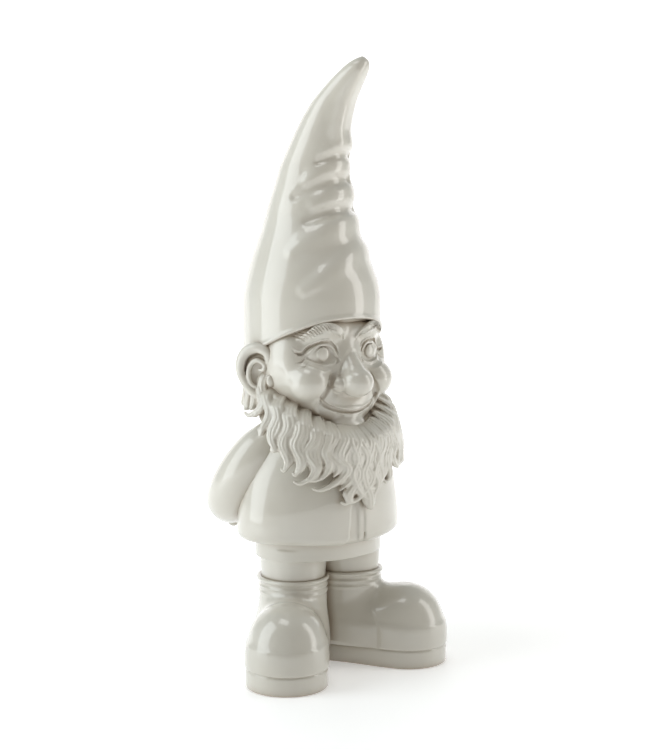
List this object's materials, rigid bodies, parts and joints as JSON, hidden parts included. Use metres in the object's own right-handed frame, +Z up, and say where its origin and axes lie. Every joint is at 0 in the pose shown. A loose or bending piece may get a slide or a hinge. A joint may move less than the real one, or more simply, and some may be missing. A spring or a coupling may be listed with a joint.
{
  "type": "garden gnome",
  "caption": "Free-standing garden statue of a bearded gnome in a tall curved pointed hat, hands behind its back, glossy ivory lacquer.",
  "frame": {"origin": "on the ground, midway between the boots, under the middle of the overall box", "axes": "+Z up; the gnome faces -Y and its left hand is on the +X side"},
  "size_m": [0.3462, 0.2761, 0.9],
  "materials": {
    "gelcoat": "glossy ivory lacquer over moulded resin",
    "galvanised_steel": "zinc plated",
    "plywood": "raw sawn plywood",
    "concrete": "cast concrete",
    "rubber": "moulded black rubber"
  },
  "bodies": {
    "root": {"hat": "gelcoat", "head": "gelcoat", "ear_right": "gelcoat", "ear_left": "gelcoat", "beard": "gelcoat", "back_hair": "gelcoat", "coat_front": "gelcoat", "coat_back": "gelcoat", "shirt_front": "gelcoat", "sleeve_right": "gelcoat", "sleeve_left": "gelcoat", "hand_right": "gelcoat", "hand_left": "gelcoat", "trousers": "gelcoat", "boot_right": "gelcoat", "boot_left": "gelcoat", "sole_right": "gelcoat", "sole_left": "gelcoat", "spine_tube": "galvanised_steel", "spine_socket": "galvanised_steel", "leg_rod_right": "galvanised_steel", "leg_rod_left": "galvanised_steel", "rod_washer_right": "galvanised_steel", "rod_washer_left": "galvanised_steel", "rod_nut_right": "galvanised_steel", "rod_nut_left": "galvanised_steel", "anchor_sleeve_right": "galvanised_steel", "anchor_sleeve_left": "galvanised_steel", "hip_plate": "plywood", "neck_plug": "plywood", "hat_plate": "plywood", "ballast_right": "concrete", "ballast_left": "concrete", "filler_plug_right": "rubber", "filler_plug_left": "rubber"}
  },
  "joints": []
}
